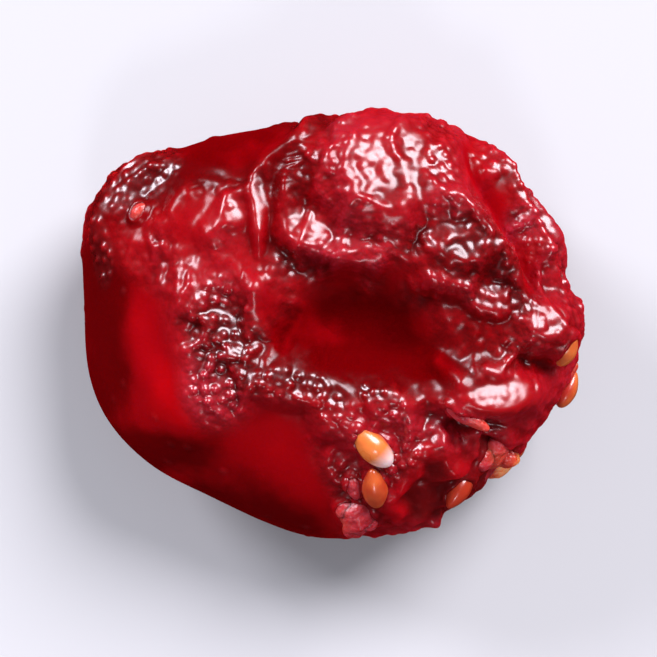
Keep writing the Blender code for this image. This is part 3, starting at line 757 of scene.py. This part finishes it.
def dried_syrup():
    """The film of dried syrup: fine domes that glint, and a grain finer still."""
    tree = bpy.data.node_groups.new("dried_syrup", "ShaderNodeTree")
    for name, value in SYRUP_INPUTS:
        socket = tree.interface.new_socket(name, in_out="INPUT", socket_type="NodeSocketFloat")
        socket.default_value = value
    for name in ("Height", "Patches"):
        tree.interface.new_socket(name, in_out="OUTPUT", socket_type="NodeSocketFloat")
    given = tree.nodes.new("NodeGroupInput").outputs
    made = tree.nodes.new("NodeGroupOutput").inputs
    place = tree.nodes.new("ShaderNodeTexCoord").outputs["Object"]
    scale = math_node(tree, "DIVIDE", 1.0 / MM, given["Dome Size"])
    domes = tree.nodes.new("ShaderNodeTexVoronoi")
    domes.feature = "SMOOTH_F1"
    values = {"Vector": place, "Scale": scale, "Smoothness": 0.35, "Randomness": 1.0}
    set_inputs(tree, domes.inputs, values)
    dome = math_node(tree, "SUBTRACT", 1.0, domes.outputs["Distance"])
    dome = math_node(tree, "MULTIPLY", dome, given["Dome Amount"])
    grain = noise(tree, place, GRAIN_SCALE, 2.0)
    grain = math_node(tree, "MULTIPLY", grain, given["Grain Amount"])
    grain = math_node(tree, "MULTIPLY", grain, GRAIN_TO_DOME)
    tree.links.new(math_node(tree, "ADD", dome, grain), made["Height"])
    tree.links.new(noise(tree, place, PATCH_SCALE, 3.0), made["Patches"])
    return tree


SYRUP = dried_syrup()


def new_finish(name, looks):
    """A material, its nodes and its shader's inputs, which have these looks."""
    material = bpy.data.materials.new(name)
    material.use_nodes = True
    tree = material.node_tree
    inputs = tree.nodes["Principled BSDF"].inputs
    set_inputs(tree, inputs, looks)
    return material, tree, inputs


def lay_syrup(tree, finish, depth, amounts):
    """Bumps a finish with the dried syrup, and gives the syrup's patches, about -0.5 to 0.5."""
    syrup = tree.nodes.new("ShaderNodeGroup")
    syrup.node_tree = SYRUP
    set_inputs(tree, syrup.inputs, amounts)
    bump = tree.nodes.new("ShaderNodeBump")
    values = {"Strength": 1.0, "Distance": depth * MM, "Height": syrup.outputs["Height"]}
    set_inputs(tree, bump.inputs, values)
    tree.links.new(bump.outputs["Normal"], finish["Normal"])
    return math_node(tree, "SUBTRACT", syrup.outputs["Patches"], 0.5)


SKIN_LOOKS = {
    "Subsurface Weight": 0.5,
    "Subsurface Radius": (1.0, 0.06, 0.05),
    "Subsurface Scale": 0.0012,
    "Specular IOR Level": 0.0,  # all the shine is the syrup's
    "Coat Roughness": 0.27,
    "Coat IOR": 1.6,
}
SKIN_DOME_SIZE = 0.22
SKIN_BUMP = 0.09
# The reds of the skin's ramp: painted shade at the dark end, the flesh's own red in the middle,
# painted light at the bright end; the pink is painted sheen, and the pulp's red is its own.
PAINTED_SHADE_RED = (0.085, 0.0002, 0.0007)
BODY_RED = (0.24, 0.0006, 0.0024)
PAINTED_LIGHT_RED = (0.32, 0.0008, 0.0025)
PAINTED_SHEEN_PINK = (0.27, 0.020, 0.04)
PULP_RED = (0.115, 0.0022, 0.003)


def flesh_finish():
    material, tree, skin = new_finish("candied_cranberry_skin", SKIN_LOOKS)
    wrinkled_part, torn, tone, film = (
        attribute(tree, name) for name in ("wrinkled", "torn", "tone", "film")
    )
    domes = math_node(tree, "MULTIPLY_ADD", wrinkled_part, 0.9, 0.06)
    amounts = {"Dome Size": SKIN_DOME_SIZE, "Dome Amount": domes, "Grain Amount": 0.5}
    patches = lay_syrup(tree, skin, SKIN_BUMP, amounts)

    # The base colour is painted light and shade: the "tone" attribute runs from dark to bright red,
    # with the syrup's patches as random unevenness, a little darker where the skin is wrinkled,
    # then mixed toward pink there as painted sheen, and toward the pulp's own red where torn.
    level = math_node(tree, "MULTIPLY_ADD", patches, 1.4, tone)
    level = math_node(tree, "MULTIPLY_ADD", wrinkled_part, -0.35, level)
    level = math_node(tree, "MULTIPLY_ADD", level, 0.42, 0.5)
    reds = ((0.0, PAINTED_SHADE_RED), (0.5, BODY_RED), (1.0, PAINTED_LIGHT_RED))
    colour = ramp(tree, level, reds, "EASE")
    crest = math_node(tree, "MULTIPLY_ADD", tone, 0.3, 0.12)
    crest = math_node(tree, "MULTIPLY", crest, wrinkled_part, clamp=True)
    colour = mixed_colour(tree, crest, colour, PAINTED_SHEEN_PINK)
    colour = mixed_colour(tree, torn, colour, PULP_RED)
    tree.links.new(colour, skin["Base Color"])

    coat = math_node(tree, "MULTIPLY_ADD", patches, 0.4, 1.0)
    coat = math_node(tree, "MULTIPLY", coat, film, clamp=True)
    tree.links.new(coat, skin["Coat Weight"])
    rough = math_node(tree, "MULTIPLY_ADD", torn, 0.1, 0.24)
    rough = math_node(tree, "MULTIPLY_ADD", patches, 0.25, rough)
    tree.links.new(rough, skin["Roughness"])
    return material


def show(mesh, name, finish):
    """Puts a mesh in the scene as a piece of the berry."""
    piece = bpy.data.objects.new(name, mesh)
    bpy.context.scene.collection.objects.link(piece)
    mesh.materials.append(finish)
    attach(piece, "root")
    return piece


flesh = show(make_flesh(), "cranberry_flesh", flesh_finish())
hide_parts(NODE)
surface = BVHTree.FromObject(flesh, bpy.context.evaluated_depsgraph_get())

# The seeds: plump drops with a smooth orange coat, which sat in the berry's chambers and now stick
# to the torn pulp and the skin by the dried syrup. Most are about half sunk in.

SEED_SIDES = (1.85, 1.06, 0.95)
SEED_TAPER = 0.26  # how much narrower it gets toward its point
SEED_RIBS = 9.0
SEED_RIB_HEIGHT = 0.015
SEED_TONES = ("tip", "redness", "stain")  # what its colour follows
TOP_SEEDS = (  # where (x, y), the way the point heads, its pitch, size, how far it is out, redness
    (1.72, -4.38, 129, 4, 1.06, 0.22, 0.0),
    (1.75, -6.05, 100, 30, 0.94, 0.12, 0.85),
    (5.00, -6.15, 235, 10, 0.85, -0.02, 1.3),
    (9.00, -0.85, 92, 0, 0.78, -0.02, 0.45),
)
FLANK_SEEDS = (  # where (azimuth, height), then as above
    (345.5, 4.0, 50, 10, 0.8, 0.38, 0.5),
    (296.0, 2.4, 195, -10, 0.95, 0.05, 0.6),
    (327.0, 2.4, 130, 25, 0.9, 0.05, 0.8),
)
FAR_OFF = 30.0  # from where the flesh is looked for
LEAN_OUT = 1.5  # how much more a piece on the flank faces outward than the flesh under it


def seen_from_above(x, y):
    """The point and normal of the flesh under (x, y)."""
    return surface.ray_cast(MM * Vector((x, y, FAR_OFF)), Vector((0.0, 0.0, -1.0)))[:2]


def seen_from_the_side(azimuth, height):
    """The point of the flesh at an azimuth, in degrees, and a height, and the way a piece faces."""
    turn = math.radians(azimuth)
    out = Vector((math.cos(turn), math.sin(turn), 0.0))
    start = FAR_OFF * out + Vector((0.0, 0.0, height))
    spot, normal = surface.ray_cast(MM * start, -out)[:2]
    return spot, (normal + LEAN_OUT * out).normalized()


def stuck_on(spot, normal, stands_out, heading, pitch):
    """The place of a piece that lies along the flesh at a spot, its length the way it heads."""
    way = Vector((math.cos(math.radians(heading)), math.sin(math.radians(heading)), 0.0))
    way = (way - way.dot(normal) * normal).normalized()
    turn = Matrix((way, normal.cross(way), normal)).transposed().to_4x4()
    turn = turn @ Matrix.Rotation(math.radians(-pitch), 4, "Y")
    return Matrix.Translation(spot + MM * stands_out * normal) @ turn


def add_seed(shape, place, size, redness):
    """One drop, pointed at +X, with faint ribs along it, into the shape that holds them all."""
    made = bmesh.ops.create_uvsphere(shape, u_segments=32, v_segments=24, radius=1.0)["verts"]
    bmesh.ops.rotate(shape, verts=made, matrix=Matrix.Rotation(math.radians(90), 3, "Y"))
    tip, red, stain = (shape.verts.layers.float[name] for name in SEED_TONES)
    for vertex in made:
        x, y, z = vertex.co
        narrowing = 1.0 - SEED_TAPER * max(0.0, x) ** 1.4 - 0.04 * max(0.0, -x) ** 2
        rib = 1.0 + SEED_RIB_HEIGHT * math.cos(SEED_RIBS * math.atan2(z, y)) * (1.0 - x * x)
        vertex[tip] = x
        vertex[red] = redness
        vertex[stain] = 0.35 - 1.3 * z
        vertex.co = (x + 0.07 * max(0.0, x) ** 4, y * narrowing * rib, z * narrowing * rib)
        vertex.co = [MM * size * side / 2 * part for side, part in zip(SEED_SIDES, vertex.co)]
    bmesh.ops.transform(shape, verts=made, matrix=place)


def mesh_from(shape, name):
    mesh = bpy.data.meshes.new(name)
    shape.to_mesh(mesh)
    shape.free()
    mesh.shade_smooth()
    return mesh


def make_seeds():
    shape = bmesh.new()
    for name in SEED_TONES:
        shape.verts.layers.float.new(name)
    for find_spot, seeds in ((seen_from_above, TOP_SEEDS), (seen_from_the_side, FLANK_SEEDS)):
        for *where, heading, pitch, size, stands_out, redness in seeds:
            place = stuck_on(*find_spot(*where), stands_out, heading, pitch)
            add_seed(shape, place, size, redness)
            lying_on_flesh.append((place, [size * side / 2 for side in SEED_SIDES]))
    return mesh_from(shape, "seeds")


SEED_LOOKS = {
    "Subsurface Weight": 0.4,
    "Subsurface Radius": (1.0, 0.35, 0.1),
    "Subsurface Scale": 0.0004,
    "Coat Weight": 0.4,
    "Coat Roughness": 0.15,
}
SEED_SYRUP = {"Dome Size": 0.35, "Dome Amount": 0.25, "Grain Amount": 0.5}
SEED_BUMP = 0.04
SEED_PATCHES = 2.4  # how much the syrup's patches move the seed's red and its stain
SEED_ORANGE = (0.64, 0.16, 0.03)
SEED_RED = (0.33, 0.022, 0.006)
SEED_PALE_END_AND_HIGHLIGHT = (0.72, 0.50, 0.48)
SEED_STAIN = (0.38, 0.015, 0.009)


def seed_finish():
    material, tree, seed = new_finish("orange_seed_coat", SEED_LOOKS)
    tip, redness, stain = (attribute(tree, name) for name in SEED_TONES)
    patches = lay_syrup(tree, seed, SEED_BUMP, SEED_SYRUP)
    red = math_node(tree, "MULTIPLY_ADD", patches, SEED_PATCHES, redness, clamp=True)
    colour = mixed_colour(tree, red, SEED_ORANGE, SEED_RED)
    # The blunt end is paler on the least red seeds: partly the seed's own pale end, partly a
    # painted highlight.
    pale = math_node(tree, "MULTIPLY_ADD", tip, -2.0, -0.4)
    pale = math_node(tree, "MULTIPLY_ADD", redness, -3.0, pale, clamp=True)
    colour = mixed_colour(tree, pale, colour, SEED_PALE_END_AND_HIGHLIGHT)
    stained = math_node(tree, "MULTIPLY_ADD", patches, SEED_PATCHES, stain, clamp=True)
    colour = mixed_colour(tree, stained, colour, SEED_STAIN)
    tree.links.new(colour, seed["Base Color"])
    tree.links.new(math_node(tree, "MULTIPLY_ADD", patches, 0.3, 0.3), seed["Roughness"])
    return material


lying_on_flesh = []
seeds = show(make_seeds(), "seeds", seed_finish())
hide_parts(NODE)

# The scraps of pulp: soft bits of the chamber walls and of the flesh, which tore loose where the
# berry was slit, and dried as they lay. Four make a pale lump at the right of the torn end, and
# four a pink one at its foot.

TOP_SCRAPS = (  # where (x, y), half sizes, heading, pitch, how far it is out, lump size, paleness
    (1.10, -7.05, (0.82, 0.70, 0.50), 260, 10, 0.15, 0.35, 0.36),
    (0.62, -6.80, (0.42, 0.35, 0.30), 220, 0, 0.1, 0.3, 0.30),
    (1.50, -7.30, (0.40, 0.34, 0.30), 330, 0, 0.2, 0.3, 0.44),
    (0.95, -7.60, (0.42, 0.34, 0.30), 200, 0, 0.15, 0.3, 0.42),
    (0.95, -6.00, (0.50, 0.30, 0.25), 280, 0, 0.0, 0.5, 0.2),
    (6.20, -4.50, (0.80, 0.62, 0.50), 300, 0, 0.25, 0.35, 0.52),
    (6.90, -4.60, (0.62, 0.50, 0.40), 300, 0, 0.4, 0.3, 0.66),
    (6.55, -5.15, (0.72, 0.48, 0.40), 20, 0, 0.35, 0.3, 0.70),
    (5.85, -5.00, (0.50, 0.40, 0.30), 60, 0, 0.1, 0.35, 0.45),
    (5.20, -3.30, (0.95, 0.30, 0.26), 322, 0, 0.04, 0.6, 0.28),
    (-7.20, 4.40, (0.40, 0.30, 0.25), 60, 0, 0.05, 0.3, 0.55),
)
FLANK_SCRAPS = (  # where (azimuth, height), then as above
    (349.5, 4.6, (0.60, 0.40, 0.35), 60, 20, 0.0, 0.35, 0.4),
    (309.0, 2.6, (0.90, 0.60, 0.40), 30, 0, 0.0, 0.45, 0.2),
    (318.0, 3.9, (0.80, 0.50, 0.40), 80, 0, 0.0, 0.4, 0.3),
)
SCRAP_LUMPS = 0.08  # their height, as a share of the scrap's
SCRAP_GRAIN = (0.03, 0.22)  # height, as such a share, and size of its smallest lumps
SCRAP_FADING = 0.25  # how much paler one end of it is than its middle


def add_scrap(shape, place, half_sizes, lump_size, paleness, draw):
    """One torn, lumpy bit, paler at +X, into the shape that holds them all."""
    made = bmesh.ops.create_icosphere(shape, subdivisions=5, radius=1.0)["verts"]
    tone = shape.verts.layers.float["paleness"]
    points = np.array([vertex.co for vertex in made]) * np.array(half_sizes)
    height, size = SCRAP_GRAIN
    swell = 1.0 + SCRAP_LUMPS * lumps(points, lump_size, draw)
    swell += height * lumps(points, size, draw + 1)
    for vertex, point in zip(made, points * swell[:, None]):
        vertex[tone] = paleness * (1.0 + SCRAP_FADING * point[0] / half_sizes[0])
        vertex.co = point * MM
    bmesh.ops.transform(shape, verts=made, matrix=place)


def make_scraps():
    shape = bmesh.new()
    shape.verts.layers.float.new("paleness")
    draw = 40
    for find_spot, scraps in ((seen_from_above, TOP_SCRAPS), (seen_from_the_side, FLANK_SCRAPS)):
        for *where, half_sizes, heading, pitch, stands_out, lump_size, paleness in scraps:
            place = stuck_on(*find_spot(*where), stands_out, heading, pitch)
            draw += 2
            add_scrap(shape, place, half_sizes, lump_size, paleness, draw)
            lying_on_flesh.append((place, half_sizes))
    return mesh_from(shape, "pulp_scraps")


PULP_LOOKS = {
    "Subsurface Weight": 0.8,
    "Subsurface Radius": (1.0, 0.12, 0.08),
    "Subsurface Scale": 0.0008,
    "Coat Weight": 0.2,
    "Coat Roughness": 0.2,
}
PULP_SYRUP = {"Dome Size": 0.2, "Dome Amount": 1.0}
PULP_BUMP = 0.06
PULP_COLOURS = (  # from the reddest to the palest
    (0.0, (0.20, 0.002, 0.005)),
    (0.35, (0.43, 0.028, 0.04)),
    (0.65, (0.46, 0.045, 0.02)),
    (0.85, (0.60, 0.22, 0.08)),
    (1.0, (0.68, 0.40, 0.20)),
)


def pulp_finish():
    material, tree, pulp = new_finish("torn_cranberry_pulp", PULP_LOOKS)
    patches = lay_syrup(tree, pulp, PULP_BUMP, PULP_SYRUP)
    share = math_node(tree, "MULTIPLY_ADD", patches, 1.1, attribute(tree, "paleness"))
    tree.links.new(ramp(tree, share, PULP_COLOURS), pulp["Base Color"])
    tree.links.new(math_node(tree, "MULTIPLY_ADD", patches, 0.4, 0.34), pulp["Roughness"])
    return material


scraps = show(make_scraps(), "pulp_scraps", pulp_finish())
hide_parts(NODE)

# The flesh has dried onto the seeds and the scraps, so it climbs a little way up round each. The
# whole berry then lies with the middle of its box over the origin.

CLIMB = 0.2
CLIMB_REACH = 0.38  # as a share of the piece's half sizes


def let_flesh_climb(mesh):
    """Lifts the flesh's points near the edge of each seed and scrap."""
    points, normals = read_vectors(mesh.vertices, "co"), read_vectors(mesh.vertices, "normal")
    lift = np.zeros(len(points))
    for place, half_sizes in lying_on_flesh:
        turned = np.array(place.inverted())
        local = (points @ turned[:3, :3].T + turned[:3, 3]) / MM / np.array(half_sizes)
        gap = np.linalg.norm(local, axis=1) - 1.0
        lift = np.maximum(lift, np.exp(-((gap / CLIMB_REACH) ** 2)))
    surface_normals(mesh, points + normals * (MM * CLIMB * lift)[:, None])


def lay_over_origin(pieces):
    """Moves the pieces level so that their box is centred, and gives the way they went."""
    corners = [read_vectors(piece.data.vertices, "co") for piece in pieces]
    low = np.min([points.min(0) for points in corners], axis=0)
    high = np.max([points.max(0) for points in corners], axis=0)
    shift = Vector((-(low[0] + high[0]) / 2, -(low[1] + high[1]) / 2, 0.0))
    for piece in pieces:
        piece.data.transform(Matrix.Translation(shift))
        piece.data.update()
    return shift


let_flesh_climb(flesh.data)
moved_by = lay_over_origin((flesh, seeds, scraps))

# The floor: a plain pale table top, matt and level, on which the berry lies on its flat spot.
# It isn't part of the berry.

FLOOR_SIDE = 1.6
FLOOR_GREY = (0.42, 0.42, 0.425, 1.0)
FLOOR_ROUGHNESS = 0.7
floor_shape = bmesh.new()
bmesh.ops.create_grid(floor_shape, x_segments=1, y_segments=1, size=FLOOR_SIDE / 2)
floor_mesh = bpy.data.meshes.new("floor")
floor_shape.to_mesh(floor_mesh)
floor_shape.free()
floor = bpy.data.objects.new("floor", floor_mesh)
bpy.context.scene.collection.objects.link(floor)
floor_looks = {"Base Color": FLOOR_GREY, "Roughness": FLOOR_ROUGHNESS}
floor_paint = new_finish("pale_floor", floor_looks)[0]
floor_mesh.materials.append(floor_paint)
floor.visible_glossy = False  # the syrup shows the lamps alone

# The light: a soft box from the upper right, as the shadows show, a weaker one from the upper
# left, a faint one from the foot of the picture, and pale light all round.

LAMPS = (  # name, the way to it (x, y, z), strength, degrees that it is across, colour
    ("key_light", (0.47, 0.60, 0.68), 5.8, 33.0, (0.95, 0.92, 1.0)),
    ("second_light", (-0.66, 0.60, 0.50), 3.3, 20.0, (0.92, 0.90, 1.0)),
    ("third_light", (0.05, -0.62, 0.78), 0.6, 12.0, (0.95, 0.92, 1.0)),
)
ROOM_LIGHT = {"Color": (0.85, 0.88, 1.0, 1.0), "Strength": 0.50}

for name, toward, strength, width, colour in LAMPS:
    lamp = bpy.data.lights.new(name, "SUN")
    lamp.energy = strength
    lamp.angle = math.radians(width)
    lamp.color = colour
    hung_lamp = bpy.data.objects.new(name, lamp)
    hung_lamp.rotation_euler = Vector(toward).to_track_quat("Z", "Y").to_euler()
    bpy.context.scene.collection.objects.link(hung_lamp)

room = bpy.data.worlds.new("pale_room")
room.use_nodes = True
set_inputs(room.node_tree, room.node_tree.nodes["Background"].inputs, ROOM_LIGHT)
room.cycles_visibility.glossy = False  # as for the floor
bpy.context.scene.world = room
bpy.context.scene.view_settings.view_transform = "Standard"

# The camera: straight above the berry, as the picture was taken, with the fold to the right.

FRAME_WIDTH = 25.6 * MM  # what the picture takes in at the berry's waist
LENS = 150.0
SENSOR = 36.0
NEAREST, FARTHEST = 0.005, 5.0  # what it sees, in metres
camera = bpy.data.cameras.new("camera")
camera.lens = LENS
camera.sensor_width = SENSOR
camera.clip_start = NEAREST
camera.clip_end = FARTHEST
camera_object = bpy.data.objects.new("camera", camera)
camera_height = WAIST_HEIGHT * MM + FRAME_WIDTH * LENS / SENSOR
camera_object.location = moved_by + Vector((0.0, 0.0, camera_height))
bpy.context.scene.collection.objects.link(camera_object)
bpy.context.scene.camera = camera_object
